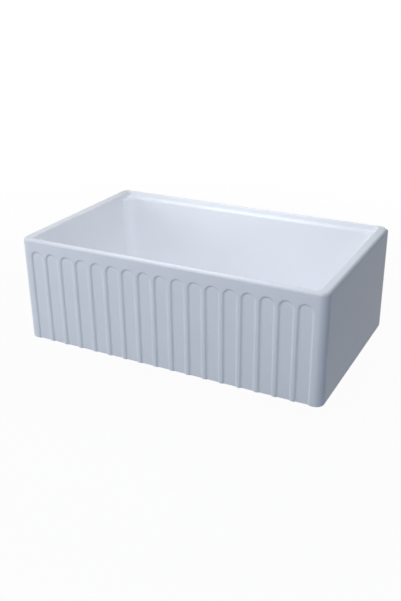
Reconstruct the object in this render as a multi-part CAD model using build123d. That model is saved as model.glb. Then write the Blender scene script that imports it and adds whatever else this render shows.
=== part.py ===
from build123d import *
import math
import os

# Farmhouse apron front sink: a one-piece fireclay basin with an arched, fluted apron,
# and the basket strainer waste that closes its drain.
# Millimetres. The origin is the centre of the basin's flat underside, +Z is up,
# the apron faces -Y, and +X is to the right of a person standing at the sink.

# ---------------------------------------------------------------- fireclay basin
SINK_WIDTH = 762.0        # left side to right side
SINK_DEPTH = 458.0        # apron face to back face
SINK_HEIGHT = 260.0       # underside to rim
CORNER_RADIUS = 19.0      # upright outer corners
WALL = 24.0               # every wall, measured just under the ledge
RIM_ROUND_OUT = 8.0       # outer edge of the rim
RIM_ROUND_IN = 3.0        # inner edge of the rim
FOOT_ROUND = 2.5          # outer edge of the underside

# A ledge for boards and grids runs along the front and back walls only.
LEDGE_WIDTH = 12.0
LEDGE_DROP = 15.0         # rim down to the ledge
LEDGE_NOSE = 2.5          # rounding where the ledge turns down into the bowl
LEDGE_CORNER = 8.0        # upright inner corners above the ledge

BOWL_CORNER = 35.0        # upright inner corners, at the ledge
BOWL_DRAFT = 2.0          # degrees that the bowl walls lean out
FLOOR_ROUND = 26.0        # wall to floor
FLOOR_THICKNESS = 26.0    # fireclay left around the drain
FLOOR_FALL = 4.0          # how far the floor falls to the drain

# Arched flutes pressed into the apron; they run out through the bottom edge.
FLUTE_WIDTH = 30.9        # between the middles of the two side slopes
RIB_WIDTH = 11.15         # rib left between two flutes, measured the same way
FLUTE_DEPTH = 2.8
FLUTE_TOP_GAP = 30.3      # rim down to the crown of each arch
FLUTE_ROUND_OUT = 4.9     # soft edge at the apron's face
FLUTE_ROUND_IN = 3.5      # soft edge at the flute's floor

# ---------------------------------------------------------------- drain opening
DRAIN_CLEARANCE = 2.0     # hole in the floor to the strainer's cup
REBATE_DEPTH = 3.0        # lets the strainer's flange lie flush with the floor
REBATE_CLEARANCE = 1.0    # around the flange
RECESS_DEPTH = 5.0        # ground seat under the floor for the washer and nut
SPANNER_ROOM = 9.2        # recess wall to the lock nut's lugs

# ---------------------------------------------------------------- strainer body
SHEET = 1.5               # drawn stainless wall
FLANGE_OVERLAP = 12.0     # flange beyond the edge of the drain hole
GASKET_THICKNESS = 1.2
GASKET_MARGIN = 1.0       # the gasket stops this far from the hole and the flange's edge
CUP_RADIUS = 43.0         # outside, also the size of its thread
CUP_DEPTH = 46.0          # flange top to cup floor
SEAT_DEPTH = 5.0          # conical seat at 45 degrees, from the cup floor down
SPIDER_SHOULDER = 2.0     # step in the outlet that carries the spider
SPIGOT_RADIUS = 23.9      # threaded outlet
SPIGOT_LENGTH = 29.0      # below the cup floor
SPIGOT_WALL = 3.9
THREAD_CLEARANCE = 0.3    # radial, at every nut and washer on a thread

# ---------------------------------------------------------------- under the floor
WASHER_WIDTH = 11.5
WASHER_THICKNESS = 3.0
FRICTION_WIDTH = 9.5
FRICTION_THICKNESS = 0.8
LOCK_NUT_WALL = 6.5
LOCK_NUT_HEIGHT = 14.0
LOCK_NUT_BEVEL = 1.5
LUG_COUNT = 6
LUG_REACH = 5.0
LUG_WIDTH = 12.0

# ---------------------------------------------------------------- spider
HUB_WALL = 2.7
HUB_HEIGHT = 8.0
HUB_CLEARANCE = 0.3       # radial, around the basket's pin
SPIDER_ARMS = 4
ARM_WIDTH = 3.6
ARM_HEIGHT = 3.0
SPIDER_RING_WALL = 2.6
SPIDER_CLEARANCE = 0.1    # radial, inside the throat

# ---------------------------------------------------------------- tailpiece
TAIL_RADIUS = 19.05       # 1 1/2 in tube
TAIL_WALL = 1.4
TAIL_LENGTH = 70.0
TAIL_FLANGE_CLEARANCE = 1.25  # radial, inside the coupling nut
TAIL_FLANGE_THICKNESS = 1.5
TAIL_WASHER_THICKNESS = 2.0
COUPLING_WALL = 4.3       # at the middle of each flat
COUPLING_HEIGHT = 20.0
COUPLING_LIP = 2.5
COUPLING_CLEARANCE = 1.0  # radial, where the tube leaves the nut

# ---------------------------------------------------------------- basket
BASKET_SHEET = 0.8
BASKET_HEIGHT = 36.0
BASKET_FLOOR_RADIUS = 30.0
BASKET_SIDE_CLEARANCE = 1.2   # lip to the strainer cup
BASKET_LIP = 2.4              # hemmed rim, turned out
BASKET_FLOOR_ROUND = 4.0
HOLE_ROWS = 3
HOLES_PER_ROW = 16
HOLE_RADIUS = 2.3
HOLE_PITCH = 8.0              # between rows

SEAL_OVERLAP = 3.0            # rubber lip beyond the mouth of the seat
SEAL_LIP = 3.0                # rubber above the cup floor
SEAL_CLEARANCE = 0.3          # rubber cone to the metal seat
PLUG_DEPTH = 4.2              # rubber below the cup floor
SEAL_WASHER_RADIUS = 12.0
SEAL_WASHER_THICKNESS = 1.2
SEAL_NUT_WALL = 2.45
SEAL_NUT_HEIGHT = 5.0
HUB_GAP = 1.0                 # nut to spider when the basket is pushed home

PIN_RADIUS = 4.0
PIN_FIT = 0.05                # radial, around the pin in pieces clamped on it
PIN_TAIL = 5.0                # pin below the spider
PIN_BEVEL = 1.5
COLLAR_STEP = 2.5             # collar beyond the pin
COLLAR_HEIGHT = 2.0
STEM_RADIUS = 3.5
GRIP_LENGTH = 3.0
GRIP_DEPTH = 0.8
KNOB_RADIUS = 9.5
KNOB_NECK_RADIUS = 5.0
KNOB_HEIGHT = 15.0
KNOB_SOCKET = 7.0             # stem length inside the knob
KNOB_BASE_HEIGHT = 25.5       # basket floor to the underside of the knob

OVERCUT = 5.0                 # how far a cutting shape reaches past a face

# ---------------------------------------------------------------- levels, top down
LEDGE_Z = SINK_HEIGHT - LEDGE_DROP
FLOOR_EDGE_Z = FLOOR_THICKNESS + FLOOR_FALL
REBATE_Z = FLOOR_THICKNESS - REBATE_DEPTH
FLANGE_UNDER_Z = REBATE_Z + GASKET_THICKNESS
FLANGE_TOP_Z = FLANGE_UNDER_Z + SHEET
CUP_FLOOR_Z = FLANGE_TOP_Z - CUP_DEPTH
CUP_UNDER_Z = CUP_FLOOR_Z - SHEET
SPIGOT_END_Z = CUP_UNDER_Z - SPIGOT_LENGTH
WASHER_UNDER_Z = RECESS_DEPTH - WASHER_THICKNESS
LOCK_NUT_TOP_Z = WASHER_UNDER_Z - FRICTION_THICKNESS

BASKET_UNDER_Z = CUP_FLOOR_Z + SEAL_LIP
BASKET_FLOOR_Z = BASKET_UNDER_Z + BASKET_SHEET
BASKET_RIM_Z = BASKET_UNDER_Z + BASKET_HEIGHT
PLUG_UNDER_Z = CUP_FLOOR_Z - PLUG_DEPTH
SEAL_NUT_TOP_Z = PLUG_UNDER_Z - SEAL_WASHER_THICKNESS
SEAL_NUT_UNDER_Z = SEAL_NUT_TOP_Z - SEAL_NUT_HEIGHT
HUB_TOP_Z = SEAL_NUT_UNDER_Z - HUB_GAP
SPIDER_UNDER_Z = HUB_TOP_Z - HUB_HEIGHT
PIN_END_Z = SPIDER_UNDER_Z - PIN_TAIL
KNOB_BASE_Z = BASKET_FLOOR_Z + KNOB_BASE_HEIGHT

TAIL_FLANGE_TOP_Z = SPIGOT_END_Z - TAIL_WASHER_THICKNESS
COUPLING_SEAT_Z = TAIL_FLANGE_TOP_Z - TAIL_FLANGE_THICKNESS
COUPLING_UNDER_Z = COUPLING_SEAT_Z - COUPLING_LIP

# ---------------------------------------------------------------- radii that fit
CUP_BORE = CUP_RADIUS - SHEET
DRAIN_HOLE_RADIUS = CUP_RADIUS + DRAIN_CLEARANCE
FLANGE_RADIUS = DRAIN_HOLE_RADIUS + FLANGE_OVERLAP
NUT_BORE = CUP_RADIUS + THREAD_CLEARANCE
LUG_TIP_RADIUS = NUT_BORE + LOCK_NUT_WALL + LUG_REACH
RECESS_RADIUS = LUG_TIP_RADIUS + SPANNER_ROOM
SPIGOT_BORE = SPIGOT_RADIUS - SPIGOT_WALL
THROAT_RADIUS = SPIGOT_BORE + SPIDER_SHOULDER
SEAT_RADIUS = THROAT_RADIUS + SEAT_DEPTH
COUPLING_BORE = SPIGOT_RADIUS + THREAD_CLEARANCE
COUPLING_FLAT = COUPLING_BORE + COUPLING_WALL
TAIL_FLANGE_RADIUS = COUPLING_BORE - TAIL_FLANGE_CLEARANCE
HUB_BORE = PIN_RADIUS + HUB_CLEARANCE
HUB_RADIUS = HUB_BORE + HUB_WALL
PIN_BORE = PIN_RADIUS + PIN_FIT
SEAL_RADIUS = SEAT_RADIUS + SEAL_OVERLAP
SEAL_NUT_FLAT = PIN_BORE + SEAL_NUT_WALL
COLLAR_RADIUS = PIN_RADIUS + COLLAR_STEP
BASKET_LIP_RADIUS = CUP_BORE - BASKET_SIDE_CLEARANCE
BASKET_RIM_RADIUS = BASKET_LIP_RADIUS - BASKET_LIP


def turned(*section):
    """Turn a section about Z; each of its corners is (radius, height, rounding)."""
    corners = [(radius, height) for radius, height, _ in section]
    roundings = [rounding for _, _, rounding in section]
    face = make_face(FilletPolyline(*corners, radius=roundings, close=True))
    return revolve(Plane.XZ * face, Axis.Z)


def ring(inner, outer, low, high):
    """A flat ring about Z."""
    return turned((inner, low, 0), (outer, low, 0), (outer, high, 0), (inner, high, 0))


def upright_block(width, depth, corner, low, high):
    """A block centred on Z whose four upright corners are round."""
    return Pos(0, 0, low) * extrude(RectangleRounded(width, depth, corner), high - low)


# ---------------------------------------------------------------- fireclay basin
def flute_cutter():
    """One arched flute, cut into +Y from the plane Y = 0, its arch centred on the origin.

    Its edge is an S: a convex arc from the apron's face meets a concave arc to the
    flute's floor at half the flute's width, at the slope where the arcs' heights
    add up to the depth.
    """
    slope = math.acos(1 - FLUTE_DEPTH / (FLUTE_ROUND_OUT + FLUTE_ROUND_IN))
    middle = FLUTE_WIDTH / 2
    floor_end = middle - FLUTE_ROUND_IN * math.sin(slope)
    mouth_end = middle + FLUTE_ROUND_OUT * math.sin(slope)
    turn_depth = FLUTE_ROUND_OUT * (1 - math.cos(slope))
    half = slope / 2
    inner_mid = (floor_end + FLUTE_ROUND_IN * math.sin(half),
                 FLUTE_DEPTH - FLUTE_ROUND_IN * (1 - math.cos(half)))
    outer_mid = (mouth_end - FLUTE_ROUND_OUT * math.sin(half),
                 FLUTE_ROUND_OUT * (1 - math.cos(half)))
    outline = (
        Line((0, -OVERCUT), (0, FLUTE_DEPTH))
        + Line((0, FLUTE_DEPTH), (floor_end, FLUTE_DEPTH))
        + ThreePointArc((floor_end, FLUTE_DEPTH), inner_mid, (middle, turn_depth))
        + ThreePointArc((middle, turn_depth), outer_mid, (mouth_end, 0))
        + Line((mouth_end, 0), (mouth_end, -OVERCUT))
        + Line((mouth_end, -OVERCUT), (0, -OVERCUT))
    )
    half_section = make_face(outline)
    section = half_section + mirror(half_section, Plane.YZ)
    arch_centre_z = SINK_HEIGHT - FLUTE_TOP_GAP - middle
    shaft = extrude(section, -(arch_centre_z + OVERCUT))
    arch = revolve(half_section, Axis.Y, -180)
    return shaft + arch


def flute_positions():
    """Centres of as many flutes as fit between the round corners, across X."""
    pitch = FLUTE_WIDTH + RIB_WIDTH
    flat = SINK_WIDTH - 2 * CORNER_RADIUS
    mouth = FLUTE_WIDTH + FLUTE_ROUND_OUT + FLUTE_ROUND_IN
    count = int((flat - mouth) / pitch) + 1
    return [(index - (count - 1) / 2) * pitch for index in range(count)]


def bowl_hollow():
    """The air in the bowl: a wide slot above the ledge, and the drafted bowl below it."""
    width = SINK_WIDTH - 2 * WALL
    depth = SINK_DEPTH - 2 * WALL
    slot_depth = depth + 2 * LEDGE_WIDTH
    fall = (LEDGE_Z - FLOOR_EDGE_Z) * math.tan(math.radians(BOWL_DRAFT))
    floor_corner = BOWL_CORNER - fall
    floor_round = min(FLOOR_ROUND, 0.95 * floor_corner)

    slot = upright_block(width, slot_depth, LEDGE_CORNER, LEDGE_Z, SINK_HEIGHT + OVERCUT)
    floor_plan = RectangleRounded(width - 2 * fall, depth - 2 * fall, floor_corner)
    bowl = extrude(Pos(0, 0, FLOOR_EDGE_Z) * floor_plan, LEDGE_Z - FLOOR_EDGE_Z,
                   taper=-BOWL_DRAFT)
    bowl = fillet(bowl.faces().sort_by(Axis.Z)[0].edges(), floor_round)

    # The ledge's nose: the bowl flares into a slab, and only the flare inside the
    # slot's own plan is kept, so the side walls stay plain.
    slab = upright_block(width + 4 * WALL, slot_depth + 4 * WALL, LEDGE_CORNER,
                         LEDGE_Z, LEDGE_Z + LEDGE_NOSE)
    flared = bowl + slab
    mouth = flared.faces().filter_by(Plane.XY).group_by(Axis.Z)[-2]
    flared = fillet(mouth.sort_by(SortBy.AREA)[-1].inner_wires()[0].edges(), LEDGE_NOSE)
    flared = flared & upright_block(width, slot_depth, LEDGE_CORNER, 0, SINK_HEIGHT)

    # The floor falls to the drain as a shallow cone that stays on the flat floor.
    fall_radius = depth / 2 - fall - floor_round - REBATE_CLEARANCE
    cone = Cone(DRAIN_HOLE_RADIUS, fall_radius, FLOOR_FALL)
    cone = Pos(0, 0, FLOOR_THICKNESS + FLOOR_FALL / 2) * cone
    return slot + flared + cone


def sink_body():
    body = upright_block(SINK_WIDTH, SINK_DEPTH, CORNER_RADIUS, 0, SINK_HEIGHT)
    cutter = flute_cutter()
    arch_z = SINK_HEIGHT - FLUTE_TOP_GAP - FLUTE_WIDTH / 2
    body = body - [Pos(x, -SINK_DEPTH / 2, arch_z) * cutter for x in flute_positions()]
    body = body - bowl_hollow()

    rim = body.faces().sort_by(Axis.Z)[-1]
    rim_wall = WALL - LEDGE_WIDTH
    body = fillet(rim.outer_wire().edges(), min(RIM_ROUND_OUT, 0.66 * rim_wall))
    rim = body.faces().sort_by(Axis.Z)[-1]
    body = fillet(rim.inner_wires()[0].edges(), min(RIM_ROUND_IN, 0.25 * rim_wall))
    foot = body.faces().sort_by(Axis.Z)[0]
    body = fillet(foot.outer_wire().edges(), FOOT_ROUND)

    drain = Pos(0, 0, FLOOR_THICKNESS / 2) * Cylinder(DRAIN_HOLE_RADIUS, 2 * FLOOR_THICKNESS)
    rebate_radius = FLANGE_RADIUS + REBATE_CLEARANCE
    rebate = ring(0, rebate_radius, REBATE_Z, FLOOR_THICKNESS + FLOOR_FALL)
    recess = ring(0, RECESS_RADIUS, -OVERCUT, RECESS_DEPTH)
    return body - drain - rebate - recess


# ---------------------------------------------------------------- strainer body
def strainer_body():
    """Drawn stainless: flange, cup, conical seat and threaded outlet in one piece."""
    seat_under_z = CUP_FLOOR_Z - SEAT_DEPTH
    return turned(
        (FLANGE_RADIUS, FLANGE_UNDER_Z, 0),
        (FLANGE_RADIUS, FLANGE_TOP_Z - SHEET / 2, 0),
        (FLANGE_RADIUS - SHEET, FLANGE_TOP_Z, 0),
        (CUP_BORE, FLANGE_TOP_Z, 2 * SHEET),
        (CUP_BORE, CUP_FLOOR_Z, 4 * SHEET),
        (SEAT_RADIUS, CUP_FLOOR_Z, 0),
        (THROAT_RADIUS, seat_under_z, 0),
        (THROAT_RADIUS, SPIDER_UNDER_Z, 0),
        (SPIGOT_BORE, SPIDER_UNDER_Z, 0),
        (SPIGOT_BORE, SPIGOT_END_Z, 0),
        (SPIGOT_RADIUS, SPIGOT_END_Z, 0),
        (SPIGOT_RADIUS, seat_under_z - SHEET, 0),
        (SEAT_RADIUS + SHEET, CUP_UNDER_Z, 0),
        (CUP_RADIUS, CUP_UNDER_Z, 5 * SHEET),
        (CUP_RADIUS, FLANGE_UNDER_Z, SHEET),
    )


def spider():
    """Stamped cross in the outlet; its hub holds the basket's pin."""
    outer = THROAT_RADIUS - SPIDER_CLEARANCE
    inner = outer - SPIDER_RING_WALL
    arm_top_z = SPIDER_UNDER_Z + ARM_HEIGHT
    rim = ring(inner, outer, SPIDER_UNDER_Z, arm_top_z)
    hub = ring(HUB_BORE, HUB_RADIUS, SPIDER_UNDER_Z, HUB_TOP_Z)
    reach = (inner + outer) / 2
    arm = Pos(reach / 2, 0, (SPIDER_UNDER_Z + arm_top_z) / 2) * Box(reach, ARM_WIDTH, ARM_HEIGHT)
    arms = [Rot(0, 0, turn * 360 / SPIDER_ARMS) * arm for turn in range(SPIDER_ARMS)]
    bore = ring(0, HUB_BORE, SPIDER_UNDER_Z - OVERCUT, HUB_TOP_Z + OVERCUT)
    return rim + hub + arms - bore


def flange_gasket():
    return ring(DRAIN_HOLE_RADIUS + GASKET_MARGIN, FLANGE_RADIUS - GASKET_MARGIN,
                REBATE_Z, FLANGE_UNDER_Z)


# ---------------------------------------------------------------- under the floor
def under_washer():
    return ring(NUT_BORE, NUT_BORE + WASHER_WIDTH, WASHER_UNDER_Z, RECESS_DEPTH)


def friction_ring():
    return ring(NUT_BORE, NUT_BORE + FRICTION_WIDTH, LOCK_NUT_TOP_Z, WASHER_UNDER_Z)


def lock_nut():
    """Cast ring nut with lugs for a spanner, wide where it presses on the ring."""
    low = LOCK_NUT_TOP_Z - LOCK_NUT_HEIGHT
    outer = NUT_BORE + LOCK_NUT_WALL
    skirt = LOCK_NUT_HEIGHT / 4
    nut = turned(
        (NUT_BORE, low, 0), (outer - LOCK_NUT_BEVEL, low, 0),
        (outer, low + LOCK_NUT_BEVEL, 0), (outer, LOCK_NUT_TOP_Z - skirt, 0),
        (outer + LUG_REACH / 2, LOCK_NUT_TOP_Z - skirt, 0),
        (outer + LUG_REACH / 2, LOCK_NUT_TOP_Z, 0), (NUT_BORE, LOCK_NUT_TOP_Z, 0),
    )
    reach = LOCK_NUT_WALL / 2 + LUG_REACH
    lug_height = 0.8 * LOCK_NUT_HEIGHT
    lug = Box(reach, LUG_WIDTH, lug_height)
    lug = fillet(lug.edges().filter_by(Axis.Z).sort_by(Axis.X)[-2:], LUG_WIDTH / 4)
    lug = Pos(LUG_TIP_RADIUS - reach / 2, 0, LOCK_NUT_TOP_Z - lug_height / 2) * lug
    return nut + [Rot(0, 0, turn * 360 / LUG_COUNT) * lug for turn in range(LUG_COUNT)]


# ---------------------------------------------------------------- tailpiece
def tailpiece_washer():
    return ring(TAIL_RADIUS - TAIL_WALL, SPIGOT_RADIUS, TAIL_FLANGE_TOP_Z, SPIGOT_END_Z)


def tailpiece():
    bore = TAIL_RADIUS - TAIL_WALL
    end_z = TAIL_FLANGE_TOP_Z - TAIL_LENGTH
    return turned(
        (bore, TAIL_FLANGE_TOP_Z, 0), (TAIL_FLANGE_RADIUS, TAIL_FLANGE_TOP_Z, 0),
        (TAIL_FLANGE_RADIUS, COUPLING_SEAT_Z, 0), (TAIL_RADIUS, COUPLING_SEAT_Z, 0),
        (TAIL_RADIUS, end_z, 0), (bore, end_z, 0),
    )


def coupling_nut():
    """Hexagon slip nut: its bore screws on the outlet, its lip holds the tailpiece."""
    hexagon = RegularPolygon(COUPLING_FLAT, 6, major_radius=False)
    nut = Pos(0, 0, COUPLING_UNDER_Z) * extrude(hexagon, COUPLING_HEIGHT)
    corner = COUPLING_FLAT / math.cos(math.pi / 6)
    top = COUPLING_UNDER_Z + COUPLING_HEIGHT
    bevel = corner - COUPLING_FLAT
    envelope = turned(
        (0, COUPLING_UNDER_Z, 0), (corner - bevel, COUPLING_UNDER_Z, 0),
        (corner, COUPLING_UNDER_Z + bevel / 2, 0), (corner, top - bevel / 2, 0),
        (corner - bevel, top, 0), (0, top, 0),
    )
    thread = ring(0, COUPLING_BORE, COUPLING_SEAT_Z, top + OVERCUT)
    mouth = ring(0, TAIL_RADIUS + COUPLING_CLEARANCE, COUPLING_UNDER_Z - OVERCUT, top)
    return (nut & envelope) - thread - mouth


# ---------------------------------------------------------------- basket
def basket_cup():
    """Pressed cup with a hemmed lip and rows of drain holes in its leaning wall."""
    lip_under_z = BASKET_RIM_Z - 2 * BASKET_SHEET
    hem = BASKET_SHEET / 2
    cup = turned(
        (PIN_BORE, BASKET_UNDER_Z, 0),
        (BASKET_FLOOR_RADIUS, BASKET_UNDER_Z, BASKET_FLOOR_ROUND),
        (BASKET_RIM_RADIUS, lip_under_z, 0),
        (BASKET_LIP_RADIUS - hem, lip_under_z, 0),
        (BASKET_LIP_RADIUS, lip_under_z + hem, 0),
        (BASKET_LIP_RADIUS, BASKET_RIM_Z - hem, 0),
        (BASKET_LIP_RADIUS - hem, BASKET_RIM_Z, 0),
        (BASKET_RIM_RADIUS, BASKET_RIM_Z, 0),
        (BASKET_RIM_RADIUS - BASKET_SHEET, lip_under_z, 0),
        (BASKET_FLOOR_RADIUS - BASKET_SHEET, BASKET_FLOOR_Z, BASKET_FLOOR_ROUND - BASKET_SHEET),
        (PIN_BORE, BASKET_FLOOR_Z, 0),
    )
    bit = Rot(0, 90, 0) * Cylinder(HOLE_RADIUS, BASKET_RIM_RADIUS)
    bit = Pos(BASKET_RIM_RADIUS * 0.9, 0, 0) * bit
    middle_z = (BASKET_FLOOR_Z + BASKET_RIM_Z) / 2
    holes = []
    for row in range(HOLE_ROWS):
        height = middle_z + (row - (HOLE_ROWS - 1) / 2) * HOLE_PITCH
        for step in range(HOLES_PER_ROW):
            turn = (step + 0.5 * (row % 2)) * 360 / HOLES_PER_ROW
            holes.append(Pos(0, 0, height) * Rot(0, 0, turn) * bit)
    return cup - holes


def stopper_seal():
    """Moulded rubber: a lip on the cup floor and a cone in the seat."""
    side = SEAL_CLEARANCE * math.sqrt(2)
    cone_top = SEAT_RADIUS - side
    bevel = SEAL_LIP / 4
    return turned(
        (PIN_BORE, BASKET_UNDER_Z, 0),
        (SEAL_RADIUS - bevel, BASKET_UNDER_Z, 0),
        (SEAL_RADIUS, BASKET_UNDER_Z - bevel, 0),
        (SEAL_RADIUS, CUP_FLOOR_Z, 0),
        (cone_top, CUP_FLOOR_Z, 0),
        (cone_top - PLUG_DEPTH, PLUG_UNDER_Z, 0),
        (PIN_BORE, PLUG_UNDER_Z, 0),
    )


def seal_washer():
    return ring(PIN_BORE, SEAL_WASHER_RADIUS, SEAL_NUT_TOP_Z, PLUG_UNDER_Z)


def seal_nut():
    hexagon = RegularPolygon(SEAL_NUT_FLAT, 6, major_radius=False) - Circle(PIN_BORE)
    return Pos(0, 0, SEAL_NUT_UNDER_Z) * extrude(hexagon, SEAL_NUT_HEIGHT)


def grip_levels():
    """Bottom and top of the pin's groove, half way down the spider's hub."""
    middle = (HUB_TOP_Z + SPIDER_UNDER_Z) / 2
    return middle - GRIP_LENGTH / 2, middle + GRIP_LENGTH / 2


def basket_post():
    """Turned post: stem in the knob, collar on the basket floor, grooved pin below."""
    grip_low, grip_high = grip_levels()
    collar_top_z = BASKET_FLOOR_Z + COLLAR_HEIGHT
    groove = PIN_RADIUS - GRIP_DEPTH
    return turned(
        (0, PIN_END_Z, 0), (PIN_RADIUS - PIN_BEVEL, PIN_END_Z, 0),
        (PIN_RADIUS, PIN_END_Z + PIN_BEVEL, 0), (PIN_RADIUS, grip_low, 0),
        (groove, grip_low, 0), (groove, grip_high, 0), (PIN_RADIUS, grip_high, 0),
        (PIN_RADIUS, BASKET_FLOOR_Z, 0), (COLLAR_RADIUS, BASKET_FLOOR_Z, 0),
        (COLLAR_RADIUS, collar_top_z, 0), (STEM_RADIUS, collar_top_z, 0),
        (STEM_RADIUS, KNOB_BASE_Z + KNOB_SOCKET, 0), (0, KNOB_BASE_Z + KNOB_SOCKET, 0),
    )


def grip_ring():
    """Rubber ring in the pin's groove, squeezed in the spider's hub."""
    low, high = grip_levels()
    return ring(PIN_RADIUS - GRIP_DEPTH, PIN_RADIUS + HUB_CLEARANCE / 2, low, high)


def knob():
    """Turned pull: a slim neck that flares to a domed head."""
    top = KNOB_BASE_Z + KNOB_HEIGHT
    flare = KNOB_BASE_Z + KNOB_HEIGHT / 2
    socket_z = KNOB_BASE_Z + KNOB_SOCKET
    socket = STEM_RADIUS + PIN_FIT
    return turned(
        (socket, KNOB_BASE_Z, 0), (KNOB_NECK_RADIUS, KNOB_BASE_Z, 0),
        (KNOB_NECK_RADIUS, flare, 2), (KNOB_RADIUS, flare + 1, 1),
        (KNOB_RADIUS, top, 3), (0, top, 0), (0, socket_z, 0), (socket, socket_z, 0),
    )


PIECES = [
    sink_body, strainer_body, spider, flange_gasket, under_washer, friction_ring, lock_nut,
    tailpiece_washer, tailpiece, coupling_nut, basket_cup, stopper_seal, seal_washer,
    seal_nut, basket_post, grip_ring, knob,
]

os.makedirs("parts", exist_ok=True)
for piece in PIECES:
    export_step(piece(), f"parts/{piece.__name__}.step")
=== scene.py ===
"""Looks of a farmhouse apron front sink and the basket strainer waste that closes it."""

import math

import bmesh
import bpy
import numpy as np
from mathutils import Matrix, Vector


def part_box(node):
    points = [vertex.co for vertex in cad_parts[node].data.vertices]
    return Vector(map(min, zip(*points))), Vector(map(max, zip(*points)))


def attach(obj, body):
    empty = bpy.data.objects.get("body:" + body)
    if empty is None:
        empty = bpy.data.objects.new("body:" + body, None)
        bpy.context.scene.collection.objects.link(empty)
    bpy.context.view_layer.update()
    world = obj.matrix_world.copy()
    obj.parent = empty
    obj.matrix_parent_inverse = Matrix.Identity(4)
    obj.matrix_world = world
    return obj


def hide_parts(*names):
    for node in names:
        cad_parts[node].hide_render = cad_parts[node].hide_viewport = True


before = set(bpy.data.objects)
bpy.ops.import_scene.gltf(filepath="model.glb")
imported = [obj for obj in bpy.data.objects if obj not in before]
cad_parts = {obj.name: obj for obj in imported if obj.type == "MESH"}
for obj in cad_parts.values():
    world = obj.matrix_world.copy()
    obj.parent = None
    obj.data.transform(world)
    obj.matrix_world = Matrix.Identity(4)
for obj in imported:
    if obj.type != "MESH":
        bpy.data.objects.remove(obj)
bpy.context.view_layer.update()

# ============================================================== fireclay basin
# One casting of fireclay with 24 mm walls, glazed white and fired once. The glaze rounds
# every edge and gathers in every inner corner, so nothing on it is sharp. The flat foot
# and the seat of the waste are wiped bare, or they would stick to the kiln shelf.

MM = 0.001
half_width, half_depth, rim_z = np.array(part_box("sink_body")[1]) / MM
CORNER = 19.0               # upright outer corners
RIM_OUTER = 7.9             # outer edge of the rim
RIM_INNER = 3.0             # inner edge of the rim
FOOT = 2.5                  # outer edge of the foot
LEDGE_DROP = 15.0           # rim down to the ledges
LEDGE_CREASE = 2.5          # glaze gathered where a ledge meets its wall
LEDGE_NOSE = 2.5            # where a ledge turns down into the bowl
SLOT_SIZE = (24.0, 12.0, 8.0)    # inset at the sides, inset at front and back, corner
BOWL_SIZE = (24.0, 24.0, 35.0)   # the same, under the ledges
BOWL_DRAFT = math.radians(2)
FLOOR_ROUND = 26.0
FLOOR_Z = 30.0
FLOOR_FALL = 4.0
FALL_RADII = (45.0, 170.0)  # the floor falls from the second to the first
REBATE_RADIUS = 58.0        # the strainer's flange lies in it
REBATE_Z = 23.0
DRAIN_RADIUS = 45.0
DRAIN_EDGE = 1.0            # edges of the rebate, the drain and the seat
SEAT_RADIUS = 64.0          # bare seat ground under the floor
SEAT_Z = 5.0
FOOT_MARGIN = 12.0          # outline to the mesh row inside the foot

FLUTE_WIDTH = 30.9
FLUTE_PITCH = 42.05
FLUTE_COUNT = 17
FLUTE_DEPTH = 2.8
FLUTE_LIP = 4.9             # radius of the soft edge at the apron's face
FLUTE_CREASE = 3.5          # radius of the soft edge at the flute's floor
FLUTE_STEPS = 5             # mesh steps over each of these two arcs
FLUTE_TOP_GAP = 30.3        # rim down to the top of each arch
ARCH_Z = rim_z - FLUTE_TOP_GAP - FLUTE_WIDTH / 2   # centres of the arches

# The columns of the mesh leave this rectangle, straight out from its sides and fanned
# from its corners.
PIVOT = np.array([7.5 * FLUTE_PITCH, 168.0])


def rays_to(targets):
    """Start and direction of the column that passes through each target."""
    starts = np.clip(targets, -PIVOT, PIVOT)
    ways = targets - starts
    return starts, ways / np.linalg.norm(ways, axis=1, keepdims=True)


def plan(rays, side_inset, end_inset, corner):
    """Where the columns meet a rounded rectangle inside the basin's outline.

    A column meets the nearer of the two straight sides, or, if that point lies past the
    side's end, the circle of the corner.
    """
    starts, ways = rays
    begin, slope = np.abs(starts) - PIVOT, np.abs(ways)
    limit = np.array([half_width - side_inset, half_depth - end_inset]) - PIVOT
    with np.errstate(divide="ignore"):
        reach = ((limit - begin) / slope).min(1)
    centre = limit - corner
    bent = (begin + reach[:, None] * slope > centre).all(1)
    along = ((centre - begin) * slope).sum(1)
    apart = ((centre - begin) ** 2).sum(1) - along ** 2
    reach = np.where(bent, along + np.sqrt(np.maximum(corner ** 2 - apart, 0)), reach)
    return starts + reach[:, None] * ways


def flute_section():
    """Distance from the flute's spine, and depth: a flat floor, then an S of two arcs."""
    turn = math.acos(1 - FLUTE_DEPTH / (FLUTE_LIP + FLUTE_CREASE))
    angle = np.linspace(0, turn, FLUTE_STEPS + 1)
    floor_end = FLUTE_WIDTH / 2 - FLUTE_CREASE * math.sin(turn)
    mouth_end = FLUTE_WIDTH / 2 + FLUTE_LIP * math.sin(turn)
    crease = floor_end + FLUTE_CREASE * np.sin(angle)
    crease_depth = FLUTE_DEPTH - FLUTE_CREASE * (1 - np.cos(angle))
    lip = mouth_end - FLUTE_LIP * np.sin(angle[-2::-1])
    lip_depth = FLUTE_LIP * (1 - np.cos(angle[-2::-1]))
    distance = np.concatenate([[0, floor_end / 2], crease, lip])
    depth = np.concatenate([[FLUTE_DEPTH] * 2, crease_depth, lip_depth])
    return distance, depth


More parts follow.
